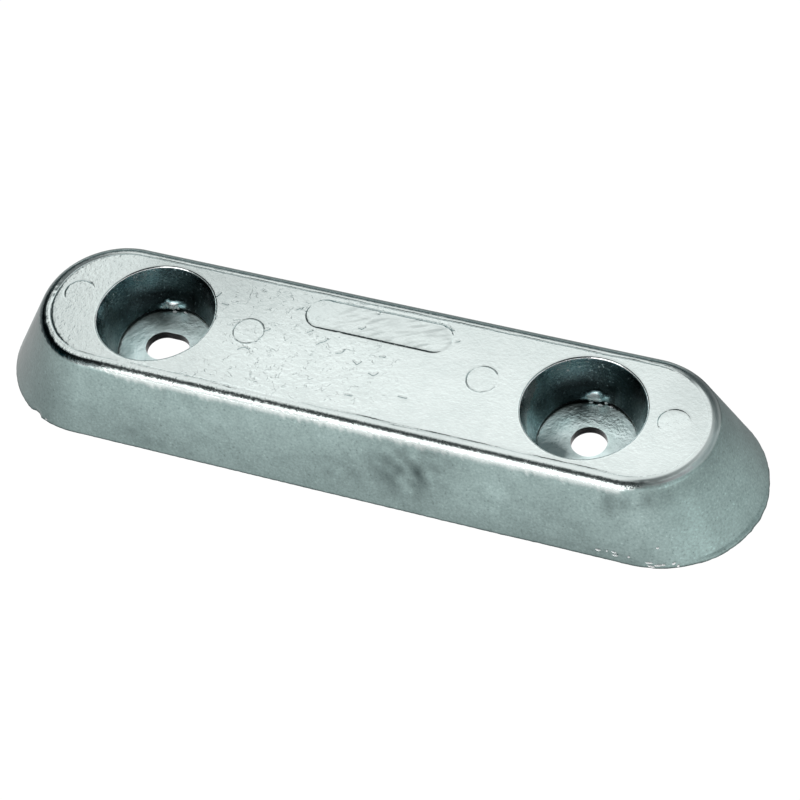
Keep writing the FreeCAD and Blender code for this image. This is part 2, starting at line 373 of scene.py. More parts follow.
# Cold laps: short folds where the metal chilled before it joined, each a line of points across the face.
LAPS = (
    ((-29.3, 13.1), (-28.7, 14.0), (-27.8, 13.9)),
    ((-6.9, 10.9), (-5.9, 10.8), (-5.3, 11.7)),
    ((-17.7, 1.6), (-17.1, 2.5), (-15.9, 3.2), (-15.2, 4.4)),
    ((-10.5, -0.1), (-9.0, 0.3), (-8.4, 1.8)),
    ((-22.4, 5.5), (-21.2, 6.4)),
    ((-2.9, 17.9), (-2.3, 19.8)),
    ((16.9, 19.2), (17.6, 19.7), (18.6, 19.6)),
    ((19.5, 18.7), (20.6, 19.2), (22.2, 18.1)),
    ((24.6, 14.1), (25.4, 14.5)),
    ((3.4, 2.2), (4.9, 2.4)),
    ((-4.2, -1.5), (-2.5, -2.7), (-1.7, -1.5)),
    ((2.4, -4.9), (4.1, -5.5), (5.0, -4.2)),
    ((14.5, -11.0), (17.1, -11.1)),
    ((-1.8, -14.8), (0.4, -14.7)),
    ((-56.7, 11.4), (-55.9, 13.1)),
    ((-53.6, 9.4), (-51.7, 9.2)),
    ((-54.1, 2.3), (-53.5, 3.8)),
    ((-36.1, 2.2), (-35.3, 2.7), (-34.7, 3.3)),
    ((-41.4, -6.8), (-40.5, -5.8), (-39.1, -5.5), (-38.0, -5.9)),
)
LAP_REACH = 60
lap_parts = [(Vector(a), Vector(b)) for line in LAPS for a, b in zip(line, line[1:])]


def to_lap(spot):
    """Distance from the nearest lap."""
    gap = 9.0
    for a, b in lap_parts:
        if abs(spot.x - a.x) < 4:
            share = min(1.0, max(0.0, (spot - a).dot(b - a) / (b - a).length_squared))
            gap = min(gap, (spot - a.lerp(b, share)).length)
    return gap


near = []
for face in bm.faces:
    first = face.verts[0]
    on_face = face.normal.z > 0.9 and abs(first.co.z - HEIGHT) < 0.5 and first[level] < 1
    if on_face and abs(first.co.x) < LAP_REACH and to_lap(face.calc_center_median().xy) < 0.8:
        near.append(face)
bmesh.ops.subdivide_edges(bm, edges=once(e for f in near for e in f.edges), cuts=2, use_grid_fill=True)
bm.normal_update()


def relief(co, cold):
    """Height of the cast skin over its true surface: shallow sink, orange peel, and cold flow wrinkles."""
    sink = 0.035 * noise.noise(co / 13.0)
    peel = (0.007 + 0.012 * max(cold, fade(-co.x, 40, 60))) * noise.noise(co / 1.6)
    warp = Vector((noise.noise(co / 3.0), noise.noise(co / 3.0 + Vector((5, 1, 7))), 0))
    fold = noise.noise(Vector((co.x / 2.6, co.y / 1.8, co.z / 2.0)) + 0.5 * warp)
    patch = fade(noise.noise(co / 5.0 + Vector((9, 4, 2))), 0.05, 0.35)
    return sink + peel - 0.045 * cold * patch * exp(-((fold / 0.15) ** 2))


def rolled(stage):
    """Whether a stage is one of the rolled edge, with a little to spare for rounding."""
    return 0.99 < stage < ROLLED + 0.01


def mark_depth(co, x, y):
    """How much of its depth a mark has at a point: the outer ones fade to one side, the inner ones in places."""
    if x < -90:
        return fade(0.75 * (co.y - y) - 0.66 * (co.x - x), -0.3 * MARK_RADIUS, 0.6 * MARK_RADIUS)
    if x > 90:
        return fade(0.88 * (co.y - y) - 0.48 * (co.x - x), -0.6 * MARK_RADIUS, 0.6 * MARK_RADIUS)
    return fade(noise.noise(co / 4.0), -0.75, 0.05)


# The marks and the field were pressed unevenly: the field is lowest at its back left and at its right end.
for vert in bm.verts:
    co = vert.co.copy()
    if abs(co.z - HEIGHT) < 0.5 and not rolled(vert[level]):
        for mark in MARKS:
            if away(co, *mark) < 0.4:
                vert.co.z = HEIGHT + (co.z - HEIGHT) * mark_depth(co, mark[0], mark[1])
        if away(co, *FIELD) < 0.4:
            low = 0.95 * (1 - fade(hypot(co.x - FIELD_X + 25, co.y - FIELD_Y - 4), 0, 16))
            low += 0.6 * (1 - fade(hypot(co.x - FIELD_X - 26, co.y - FIELD_Y), 2, 11))
            vert.co.z = HEIGHT + (co.z - HEIGHT) * (1 - low)

# The cast skin. At the back of each cup, zinc splashed up the wall from the strap and stands 0.8 mm proud.
SPLASH_X = (-76.8, 68.8)
SPLASH_Z = 13.5
SPLASH_LONG = 4.6
SPLASH_HIGH = 2.5
for vert in bm.verts:
    co = vert.co.copy()
    in_cup = min(away(co, x, 0, 0, CUP_MOUTH - 0.3) for x in CUP_X) < 0
    in_pocket = STRAP_LOW - 0.2 < co.z < STRAP_HIGH + 0.2 and abs(co.y) < 18 and abs(co.x) < 97
    if co.z < 0.01 and vert.normal.z < -0.5:
        vert.co.z += 0.05 * (1 + noise.noise(co / 9.0))
    elif in_cup:
        if co.z > STRAP_HIGH + 0.3:
            vert.co += vert.normal * (0.06 * noise.noise(co / 5.0) + 0.015 * noise.noise(co / 1.2))
            splash = max(1 - hypot((co.x - x) / SPLASH_LONG, (co.z - SPLASH_Z) / SPLASH_HIGH) for x in SPLASH_X)
            splash = splash + 0.4 * noise.noise(co / 1.9) if co.y > 5 else 0
            vert.co += vert.normal * (0.8 + 0.2 * noise.noise(co / 2.6)) * fade(splash, 0, 0.8)
            # In the cups this attribute marks where a painted highlight lies on the splash.
            vert[flow_and_highlight] = fade(splash, 0, 0.9) * (1 + 0.6 * noise.noise(co / 1.8))
    elif co.z > 0.01 and not in_pocket:
        wander = 10 * noise.noise(co / 20.0)
        cold = fade(co.x + wander, -58, -46) * (1 - 0.9 * fade(co.x + 1.8 * wander, -5, 30))
        vert[flow_and_highlight] = cold * fade(24 - abs(co.y), 0, 6) * (1 - 0.75 * fade(-away(co, *FIELD), -0.5, 0.5))
        vert.co += vert.normal * relief(co, vert[flow_and_highlight])

# A lap is a fine furrow with a low bank on each side.
for vert in bm.verts:
    if vert.co.z > HEIGHT - 0.5 and abs(vert.co.x) < LAP_REACH and not rolled(vert[level]):
        gap = to_lap(vert.co.xy)
        if gap < 1.0:
            vert.co.z += 0.03 * exp(-(((gap - 0.5) / 0.22) ** 2)) - 0.1 * exp(-((gap / 0.24) ** 2))

# Along the foot the die halves left a step at the right, a lip round the right end, and a chip at the left.
CHIP = (-109.2, -29.4)
for vert in bm.verts:
    co, nx, ny = vert.co, vert[out_x], vert[out_y]
    if vert[level] < 0.2 and co.z < 6 and away(co, 0, 0, FACE_HALF, FACE_ROUND) > 2:
        top = 3.3 - 3.0 * fade(co.x, 93, 102)
        ledge = fade(co.x, 50, 66) * (1 - fade(co.x, 100, 104)) * fade(-ny, 0.7, 0.95)
        ledge *= 1 - fade(co.z, top - 0.25, top + 0.25)
        lip = fade(nx, 0.5, 0.75) * fade(-ny, -0.3, 0.1) * (1 - fade(co.z, 1.1, 1.5))
        proud = -0.16 * ledge + 0.45 * lip * (1 + 0.5 * noise.noise(co / 2.0))
        proud += 0.12 * noise.noise(co / 1.5) * (1 - fade(co.z, 0, 0.8))
        chip = fade(2.6 - hypot(co.x - CHIP[0], co.y - CHIP[1]), 0, 1.6) * (1 - fade(co.z, 0.5, 2.2))
        co += Vector((nx, ny, 0)) * (proud - 0.8 * chip)


# Painted reflection and shade on the mesh for the skin round the outside. Each direction, in degrees from +X, has the
# dark band of the rolled edge, a painted reflection, from and to which tilt and how much light it leaves, how light the
# rest of the edge and the flank are, and the tilt where the flank's darker colour, a painted shade, starts.
PAINT = (
    (0, 0, 14, 0.85, 1.1, 1.08, 42),
    (20, 5, 60, 0.5, 0.75, 0.75, 48),
    (35, 6, 60, 0.27, 0.5, 0.5, 50),
    (60, -3, 50, 0.17, 0.06, 0.2, 40),
    (90, 3, 14, 0.42, 0.36, 0.36, 20),
    (135, -4, 8, 0.2, 0.3, 0.38, 20),
    (160, -4, 32, 0.17, 0.34, 0.55, 30),
    (180, -2.5, 46, 0.15, 0.7, 0.7, 46),
    (200, 11, 52, 0.06, 0.22, 0.24, 50),
    (225, 11, 50, 0.02, 0.45, 0.5, 50),
    (250, 19, 55, -0.015, 0.6, 0.66, 50),
    (269, 20, 52, 0.1, 0.95, 0.95, 56),
    (271, 17, 36, 0.75, 1.0, 1.0, 74),
    (290, 8, 22, 0.2, 1.4, 1.22, 42),
    (315, 10, 19, 0.5, 2.6, 1.62, 40),
    (340, 2, 14, 0.8, 1.2, 1.25, 46),
    (360, 0, 14, 0.85, 1.1, 1.08, 42),
)
# Painted reflection on the cup walls: for each direction, how light the cup wall is at the rim and at the foot.
WALLS = (
    (0, 12.0, 5.0),
    (15, 11.0, 4.5),
    (30, 0.9, 2.4),
    (50, 0.5, 1.5),
    (75, 1.2, 0.1),
    (90, 2.8, 0.2),
    (120, 3.5, 0.15),
    (135, 3.4, 0.2),
    (150, 1.4, 0.5),
    (165, 2.6, 0.35),
    (180, 2.1, 0.8),
    (210, 2.4, 0.5),
    (270, 2.4, 0.7),
    (360, 12.0, 5.0),
)
# Darker and lighter patches on the front flank: place along and up, half width and half height, and how dark, or how
# light below 0.
FLANK_PATCHES = (
    (22, 14, 12, 8, 0.5),
    (24, 22, 11, 6, 0.2),
    (46, 14, 11, 10, -0.16),
    (-45, 18, 14, 8, -0.08),
    (1, 11, 12, 5, 0.2),
    (34, 21, 9, 5, 0.2),
    (70, 9, 10, 5, 0.15),
    (94, 23, 8, 4, 0.3),
    (-70, 6, 12, 5, 0.2),
    (88, 20, 3, 4, 0.3),
)


def across(table, around):
    """The values of a table of directions, blended between the two rows that a direction falls between."""
    spot = next(i for i in range(1, len(table)) if table[i][0] >= around)
    low, high = table[spot - 1], table[spot]
    share = (around - low[0]) / (high[0] - low[0])
    return [a + share * (b - a) for a, b in zip(low[1:], high[1:])]


for vert in bm.verts:
    co, nx, ny, stage = vert.co, vert[out_x], vert[out_y], vert[level]
    inner = stage > ROLLED + 0.5
    on_grid = stage < 0.99 and co.z > 28.3
    vert[tone] = 1.0
    around = degrees(atan2(ny, nx)) % 360

    # The hull face is even, and the walls of the wells have less of the pin skin's painted shade.
    if co.z < 0.2 and (stage == UNDERSIDE or inner or nx == ny == 0):
        vert[flank], vert[dull] = 0.5, 0.4
        continue
    if co.z < STRAP_LOW and inner:
        vert[tone] = 1.6

    # Cup walls, painted reflection: lighter towards the left, most so in the right cup, with a painted highlight on the
    # splash and painted shade in the crevice.
    elif inner and min(away(co, x, 0, 0, CUP_MOUTH) for x in CUP_X) < 0:
        rim, foot = across(WALLS, around)
        wall = (foot + (rim - foot) * fade(co.z, 18, 27)) * (1 - 0.6 * fade(nx, 0.2, 0.8) + 0.35 * fade(-nx, 0.3, 0.9))
        wall *= 1 + (1.5 + 1.5 * fade(co.z, 22, 26)) * fade(co.x, 0, 50) * fade(-nx, 0.4, 0.9) * fade(-ny, -0.5, 0.1)
        vert[tone] = (wall + 9 * vert[flow_and_highlight]) * (0.1 if co.z < 12.4 else 1.0)

    # The face: a little darker to the back and at both ends as painted shade, with soft drag marks across the right of
    # the field.
    elif on_grid or inner:
        rear = fade(co.y, -8, 20) * (0.14 + 0.11 * exp(-(((co.x + 50) / 30) ** 2))) * fade(co.x, -100, -75)
        vert[tone] = 1 - 0.1 * fade(-co.x, 30, 60) - rear - 0.1 * fade(co.x, 85, 105) * fade(co.y, -12, 4)
        if away(co, *FIELD) < 0:
            drag = noise.noise(Vector(((0.9 * co.y - 0.45 * co.x) / 1.3, (0.9 * co.x + 0.45 * co.y) / 6, 3)))
            vert[tone] -= 0.22 * fade(drag, -0.1, 0.5) * fade(co.x, -20, -6)
    if stage > ROLLED + 0.01 or on_grid or away(co, 0, 0, FACE_HALF, FACE_ROUND) < -3.6:
        continue

    # The outside, by its direction and by its lean in degrees from level. Along the straight front, where the
    # direction stays the same, the band changes near the left end instead.
    start, end, left, roll, below, skin = across(PAINT, around)
    front, right = fade(-ny, 0.7, 0.97), fade(nx, 0.2, 0.6)
    if 265 < around < 275:
        share = fade(co.x, -86, -72)
        start, end, left, skin = 20 - 3 * share, 52 - 15 * share, 0.1 + 0.65 * share, 56 + 20 * share

    # The band's edges are ragged along the front and round the left end.
    teeth = max(front, fade(-nx, 0.1, 0.5) * fade(-ny, -0.3, 0.1))
    ragged = teeth * (noise.noise(Vector((co.x / 1.4, 18 * ny, 5))) + 0.6 * noise.noise(Vector((co.x / 6, 4 * ny, 2))))
    start += 12 * (teeth - front) * noise.noise(Vector((co.x / 1.4, 18 * ny, 9)))
    end += (6 + 5 * (teeth - front)) * ragged
    skin += 7 * ragged
    lean = (2 - stage) * (pi / 2 - tilt(nx)) * 180 / pi if stage > 1 else 74 + 6 * (flank_top(nx) - co.z)
    band = fade(lean, start - 4, start + 4) * (1 - fade(lean, end - 4, end + 10))
    vert[flank] = fade(lean, skin - 6, skin + 6)
    vert[dull] = right * fade(lean, -1, 8) + 0.35 * (1 - right) * front * (1 - fade(lean, 38, 50))
    vert[comb] = front * fade(lean, 6, 20) * (1 - fade(lean, 45, 62)) * (1 - 0.5 * fade(co.x, -20, 20))

    # Painted reflection: the flank is lighter towards its top along the front and darker there round the right end, and
    # the start of the rolled edge round the right end has a painted highlight.
    shade = 1 + (roll + (below - roll) * fade(lean, 64, 80) - 1) * fade(lean, end, end + 12)
    rise = min(1.0, co.z / (HEIGHT - EDGE))
    shade *= 1 + front * (1 - right) * (0.34 * rise - 0.26) - 0.25 * fade(nx, -0.2, 0.5) * fade(rise, 0.6, 1.1)
    shade *= 1 + 0.26 * right * (1 - fade(lean, 1, 5)) * (1 - 0.9 * fade(ny, 0.05, 0.4))
    if ny < -0.5:
        for x, z, wide, high, deep in FLANK_PATCHES:
            flank_patch = exp(-(((co.x - x) / wide) ** 2) - ((co.z - z) / high) ** 2)
            shade *= 1 - deep * flank_patch * (0.8 + 1.2 * noise.noise(co / 4.0))

    # The very foot and the set-back step at the right are in shadow.
    vert[tone] = shade * (1 - (1 - left) * band) * (1 + 0.1 * noise.noise(co / 6.0) * vert[flank])
    vert[tone] *= 1 - 0.6 * (1 - fade(stage, 0.008, 0.03))
    vert[tone] *= 1 - 0.12 * front * fade(co.x, 50, 66) * (1 - fade(co.z + 3.0 * fade(co.x, 93, 102), 3.2, 3.7))

# Beads, where zinc ran past the core pins on to the strap: place, half sizes and turn in degrees.
BEADS = (
    (-76.4, 14.9, 13.4, 0.7, 0.5, 1.1, 0),
    (-75.0, 15.2, 12.7, 0.5, 0.5, 0.5, 0),
    (-76.1, 14.3, 11.6, 0.9, 0.45, 0.3, 10),
    (-72.4, 14.8, 11.6, 0.8, 0.4, 0.3, -15),
    (68.4, 15.5, 13.6, 0.6, 0.5, 1.2, 0),
    (69.8, 15.6, 12.9, 0.6, 0.5, 0.6, 0),
    (72.3, 15.4, 12.1, 0.7, 0.5, 0.4, 0),
    (67.5, 14.7, 11.6, 0.8, 0.4, 0.3, 15),
    (70.6, 14.4, 11.6, 0.9, 0.5, 0.35, 0),
    (74.1, 14.6, 11.6, 0.7, 0.4, 0.3, -15),
)
# Flakes of flash that stand on the flank along the foot: place along, height, half length and slope in degrees.
FLAKES = (
    (84.3, 3.1, 0.9, 0),
    (87.1, 3.6, 0.35, 0),
    (89.3, 3.6, 0.9, -5),
    (89.7, 2.6, 1.0, 0),
    (94.0, 3.2, 0.4, 0),
    (100.2, 2.1, 1.2, 0),
    (100.9, 0.9, 1.2, -15),
    (102.9, 1.3, 1.2, 5),
    (104.4, 1.45, 0.6, 0),
    (107.3, 1.65, 0.8, 35),
    (108.6, 0.7, 0.6, 50),
    (102.3, 7.3, 0.5, 25),
    (-104.6, 0.8, 0.3, 0),
)
FLAKE_DEEP = 0.4
FLAKE_HIGH = 0.32
# Loose metal is painted a little brighter than the skin, as a painted highlight, and so dull that this also tells it
# from the wall it lies on.
LOOSE_TONE = 1.4
LOOSE_DULL = 2.6
places = [
    Matrix.Translation((x, y, z)) @ Matrix.Rotation(radians(turn), 4, "Z") @ Matrix.Diagonal((long, deep, high, 1))
    for x, y, z, long, deep, high, turn in BEADS
]
for x, z, long, slope in FLAKES:
    beyond = max(0.0, abs(x) - BASE_HALF - (FACE_HALF - BASE_HALF) * z / HEIGHT)
    radius = BASE_ROUND + (FACE_ROUND - BASE_ROUND) * z / HEIGHT
    turn = Matrix.Rotation(copysign(atan2(beyond, radius), x), 4, "Z") @ Matrix.Rotation(radians(-slope), 4, "Y")
    y = -((radius * radius - beyond * beyond) ** 0.5)
    places.append(Matrix.Translation((x, y, z)) @ turn @ Matrix.Diagonal((long, FLAKE_DEEP, FLAKE_HIGH, 1)))
for place in places:
    for vert in bmesh.ops.create_icosphere(bm, subdivisions=2, radius=1.0, matrix=place)["verts"]:
        vert[tone] = LOOSE_TONE
        vert[dull] = LOOSE_DULL

# The walls of the cups and wells have the pins' skin, and all else, the loose metal too, has the die's.
for face in bm.faces:
    face.smooth = True
    middle = face.calc_center_median()
    out = min(away(middle, x, 0, 0, 0) for x in CUP_X)
    in_cup = STRAP_HIGH - 0.5 < middle.z < HEIGHT - 0.6 and out < CUP_MOUTH - 0.15
    in_well = 0.15 < middle.z < STRAP_LOW and out < WELL_MOUTH
    if (in_cup or in_well) and face.verts[0][dull] <= 1:
        face.material_index = 1
bmesh.ops.scale(bm, verts=bm.verts, vec=(0.001, 0.001, 0.001))
mesh = bpy.data.meshes.new("zinc_anode_casting")
bm.to_mesh(mesh)
bm.free()
casting = bpy.data.objects.new("zinc_anode_casting", mesh)
bpy.context.scene.collection.objects.link(casting)
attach(casting, "root")
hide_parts("zinc_casting")


def linear(code):
    """An sRGB hex colour as the linear values that a shader reads."""
    parts = [int(code[i : i + 2], 16) / 255 for i in (1, 3, 5)]
    return [c / 12.92 if c <= 0.04045 else ((c + 0.055) / 1.055) ** 2.4 for c in parts] + [1.0]


def node(tree, kind, values=None, **settings):
    """Adds one node; a value that is a socket is linked."""
    made = tree.nodes.new("ShaderNode" + kind)
    for name, value in settings.items():
        setattr(made, name, value)
    for name, value in (values or {}).items():
        if isinstance(value, bpy.types.NodeSocket):
            tree.links.new(value, made.inputs[name])
        else:
            made.inputs[name].default_value = value
    return made


def new_metal(name, roughness):
    """A material with a bare metal shader; gives its tree, its shader and Object coordinates in millimetres."""
    material = bpy.data.materials.new(name)
    material.use_nodes = True
    tree = material.node_tree
    shader = tree.nodes["Principled BSDF"]
    shader.inputs["Metallic"].default_value = 1.0
    shader.inputs["Roughness"].default_value = roughness
    place = node(tree, "TexCoord").outputs["Object"]
    mm = node(tree, "Mapping", {"Vector": place, "Scale": (1000, 1000, 1000)}).outputs["Vector"]
    return material, tree, shader, mm


# Die-cast zinc skin: bright and satin on the face, duller and mottled down the flanks, whose darker colour is painted
# shade. It clouds over about 14 mm and mottles over 3. Its real grain, about 0.2 mm, is finer than a pixel and drawn at
# 0.8.
zinc, tree, shader, mm = new_metal("die_cast_zinc_skin", 0.3)
side = node(tree, "Attribute", attribute_name="flank").outputs["Fac"]
shade = node(tree, "Attribute", attribute_name="tone").outputs["Fac"]
worn = node(tree, "Attribute", attribute_name="dull").outputs["Fac"]
edge = node(tree, "Attribute", attribute_name="comb").outputs["Fac"]
cold = node(tree, "Attribute", attribute_name="flow_and_highlight").outputs["Fac"]
broad = node(tree, "TexNoise", {"Vector": mm, "Scale": 1 / 14, "Detail": 3.0, "Roughness": 0.6}).outputs["Fac"]
middle = node(tree, "TexNoise", {"Vector": mm, "Scale": 1 / 3.2, "Detail": 6.0, "Roughness": 0.65}).outputs["Fac"]
grain = node(tree, "TexNoise", {"Vector": mm, "Scale": 1 / 0.8, "Detail": 3.0, "Roughness": 0.6}).outputs["Fac"]
blotch = node(tree, "Math", {0: broad, 1: middle}, operation="ADD").outputs[0]
blotch = node(tree, "MapRange", {"Value": blotch, "From Min": 0.7, "From Max": 1.3}).outputs["Result"]
face_colour = node(
    tree, "Mix", {0: blotch, 6: linear("#D6DFDD"), 7: linear("#E0E8E6")}, data_type="RGBA"
).outputs[2]
# The flanks' darker colour is painted shade.
side_colour = node(
    tree, "Mix", {0: blotch, 6: linear("#8EA19F"), 7: linear("#9AADAB")}, data_type="RGBA"
).outputs[2]
colour = node(tree, "Mix", {0: side, 6: face_colour, 7: side_colour}, data_type="RGBA").outputs[2]
speck = node(
    tree, "MapRange", {"Value": grain, "From Min": 0.3, "From Max": 0.7, "To Min": 0.84, "To Max": 1.16}
).outputs["Result"]
# Dark specks are painted shade in pits, and bright ones are painted glints.
pit_shade = node(
    tree, "MapRange", {"Value": grain, "From Min": 0.29, "From Max": 0.33, "To Min": 0.68, "To Max": 1.0}
).outputs["Result"]
glint = node(
    tree, "MapRange", {"Value": grain, "From Min": 0.67, "From Max": 0.71, "To Min": 1.0, "To Max": 1.2}
).outputs["Result"]
speck = node(tree, "Math", {0: speck, 1: pit_shade}, operation="MULTIPLY").outputs[0]
speck = node(tree, "Math", {0: speck, 1: glint}, operation="MULTIPLY").outputs[0]
speck = node(tree, "Mix", {0: side, 2: 1.0, 3: speck}).outputs[0]

# Tone, mostly painted light and shade: 0 is a dark blue-grey, 1 is the plain skin, and past 1 it is brighter.
shade = node(tree, "Math", {0: shade, 1: speck}, operation="MULTIPLY").outputs[0]
shade = node(
    tree, "Mix", {0: shade, 6: linear("#1C3034"), 7: linear("#FFFFFF")}, data_type="RGBA", clamp_factor=False
).outputs[2]
colour = node(tree, "Mix", {0: 1.0, 6: colour, 7: shade}, data_type="RGBA", blend_type="MULTIPLY").outputs[2]
tree.links.new(colour, shader.inputs["Base Color"])
rough = node(tree, "MapRange", {"Value": side, "To Min": 0.16, "To Max": 0.34}).outputs["Result"]
spread = node(tree, "MapRange", {"Value": middle, "To Min": -0.06, "To Max": 0.08}).outputs["Result"]
rough = node(tree, "Math", {0: rough, 1: spread}, operation="ADD").outputs[0]
rough = node(tree, "Math", {0: worn, 1: 0.26, 2: rough}, operation="MULTIPLY_ADD").outputs[0]
tree.links.new(rough, shader.inputs["Roughness"])

# Its relief that is finer than the mesh: a drag-marked rolled edge, orange peel 1 mm across, drawn coarser than it is,
# and short cold laps where the metal met.
drag = node(tree, "Mapping", {"Vector": mm, "Scale": (1 / 1.0, 1 / 3.2, 1 / 3.2)}).outputs["Vector"]
drag = node(tree, "TexNoise", {"Vector": drag, "Scale": 1.0, "Detail": 2.0, "Roughness": 0.6}).outputs["Fac"]
drag = node(tree, "Math", {0: drag, 1: edge}, operation="MULTIPLY").outputs[0]
bump = node(tree, "Bump", {"Height": drag, "Distance": 0.0003, "Strength": 1.0}).outputs["Normal"]
peel = node(tree, "TexNoise", {"Vector": mm, "Scale": 1 / 1.0, "Detail": 2.0, "Roughness": 0.6}).outputs["Fac"]
bump = node(tree, "Bump", {"Height": peel, "Distance": 0.00006, "Strength": 1.0, "Normal": bump}).outputs["Normal"]
lap = node(tree, "TexNoise", {"Vector": mm, "Scale": 1 / 2.4, "Detail": 1.0, "Distortion": 0.6}).outputs["Fac"]
lap = node(tree, "Math", {0: lap, 1: 0.5}, operation="SUBTRACT").outputs[0]
lap = node(tree, "Math", {0: lap}, operation="ABSOLUTE").outputs[0]
lap = node(tree, "MapRange", {"Value": lap, "From Max": 0.035}).outputs["Result"]
gap = node(tree, "MapRange", {"Value": middle, "From Min": 0.52, "From Max": 0.6}).outputs["Result"]
gap = node(tree, "Math", {0: gap, 1: cold}, operation="MULTIPLY").outputs[0]
lap = node(tree, "Math", {0: 1.0, 1: lap}, operation="SUBTRACT").outputs[0]
lap = node(tree, "Math", {0: lap, 1: gap}, operation="MULTIPLY").outputs[0]
bump = node(
    tree, "Bump", {"Height": lap, "Distance": 0.00004, "Strength": 1.0, "Normal": bump}, invert=True
).outputs["Normal"]
tree.links.new(bump, shader.inputs["Normal"])

# Core pin skin: zinc that froze against a pin, smooth and coloured dark as a painted shade of the deep cups, clouded
# over about 9 mm, with bright dust in it. The dust is finer than a pixel and drawn at 0.8 mm.
pin, tree, shader, mm = new_metal("core_pin_zinc_painted_shade", 0.2)
broad = node(tree, "TexNoise", {"Vector": mm, "Scale": 1 / 9, "Detail": 4.0, "Roughness": 0.6}).outputs["Fac"]
colour = node(tree, "Mix", {0: broad, 6: linear("#66777A"), 7: linear("#93A2A4")}, data_type="RGBA").outputs[2]
# The tone brings the cup walls' painted reflection, highlight and shade.
shade = node(tree, "Attribute", attribute_name="tone").outputs["Fac"]
fine = node(tree, "TexNoise", {"Vector": mm, "Scale": 1 / 0.8, "Detail": 4.0, "Roughness": 0.6}).outputs["Fac"]
dust = node(
    tree, "MapRange", {"Value": fine, "From Min": 0.66, "From Max": 0.72, "To Min": 0.0, "To Max": 1.4}
).outputs["Result"]
mist = node(
    tree, "MapRange", {"Value": fine, "From Min": 0.3, "From Max": 0.7, "To Min": 0.62, "To Max": 1.38}
).outputs["Result"]
shade = node(tree, "Math", {0: shade, 1: mist, 2: dust}, operation="MULTIPLY_ADD").outputs[0]
colour = node(tree, "Mix", {0: 1.0, 6: colour, 7: shade}, data_type="RGBA", blend_type="MULTIPLY").outputs[2]
tree.links.new(colour, shader.inputs["Base Color"])
bump = node(tree, "Bump", {"Height": fine, "Distance": 0.00006, "Strength": 1.0}).outputs["Normal"]
tree.links.new(bump, shader.inputs["Normal"])
speck = node(
    tree, "MapRange", {"Value": fine, "From Min": 0.62, "From Max": 0.7, "To Min": 0.2, "To Max": 0.6}
).outputs["Result"]
splash = node(tree, "Attribute", attribute_name="flow_and_highlight").outputs["Fac"]
speck = node(tree, "Math", {0: splash, 1: 0.2, 2: speck}, operation="MULTIPLY_ADD").outputs[0]
tree.links.new(speck, shader.inputs["Roughness"])
casting.data.materials.append(zinc)
casting.data.materials.append(pin)

# STEEL STRAP
# The flat mild steel bar that the zinc is cast round. It is hot-dip galvanised, so that zinc bonds to it, and its two
# stud holes are punched. Only its ends show, as the floors of the cups and above the wells in the hull face.

# Galvanised mild steel: a pale satin coat that clouds over 5 mm, darkened in places by painted shade and painted
# reflection of the cup walls.
# The punched walls of its holes lie in shadow and are nearly black.
steel, tree, shader, mm = new_metal("galvanised_mild_steel", 0.28)
broad = node(tree, "TexNoise", {"Vector": mm, "Scale": 1 / 5, "Detail": 5.0, "Roughness": 0.6}).outputs["Fac"]
broad = node(tree, "MapRange", {"Value": broad, "From Min": 0.35, "From Max": 0.6}).outputs["Result"]
skin = node(tree, "Mix", {0: broad, 6: linear("#D5E8E6"), 7: linear("#E6F6F5")}, data_type="RGBA").outputs[2]

# Painted shade and reflection on the floors: place, the distances where each starts to clear and has cleared, and how
# much light its middle leaves.
SHADED_SPOTS = (
    (61, -8, 6, 12.5, 0.14),
    (-79, 13, 2, 8.5, 0.28),
    (65, 13, 2, 8, 0.28),
    (-87, -9, 2, 8, 0.35),
    (84, -2, 2, 10, 0.5),
)
spot_shade = 1.0
for x, y, start, reach, least in SHADED_SPOTS:
    gap = node(tree, "VectorMath", {0: mm, 1: (x, y, STRAP_HIGH)}, operation="DISTANCE").outputs["Value"]
    gap = node(tree, "Math", {0: broad, 1: 2.0, 2: gap}, operation="MULTIPLY_ADD").outputs[0]
    gap = node(
        tree, "MapRange", {"Value": gap, "From Min": start, "From Max": reach, "To Min": least, "To Max": 1.0}
    ).outputs["Result"]
    spot_shade = node(tree, "Math", {0: gap, 1: spot_shade}, operation="MULTIPLY").outputs[0]
# The painted shade darkens towards a dark blue-grey.
spot_shade = node(tree, "Mix", {0: spot_shade, 6: linear("#1C3034"), 7: linear("#FFFFFF")}, data_type="RGBA").outputs[2]
skin = node(tree, "Mix", {0: 1.0, 6: skin, 7: spot_shade}, data_type="RGBA", blend_type="MULTIPLY").outputs[2]
upward = node(tree, "SeparateXYZ", {0: node(tree, "TexCoord").outputs["Normal"]}).outputs["Z"]
upward = node(tree, "Math", {0: upward}, operation="ABSOLUTE").outputs[0]
upward = node(tree, "MapRange", {"Value": upward, "From Min": 0.4, "From Max": 0.7}).outputs["Result"]
colour = node(tree, "Mix", {0: upward, 6: linear("#040607"), 7: skin}, data_type="RGBA").outputs[2]
tree.links.new(colour, shader.inputs["Base Color"])

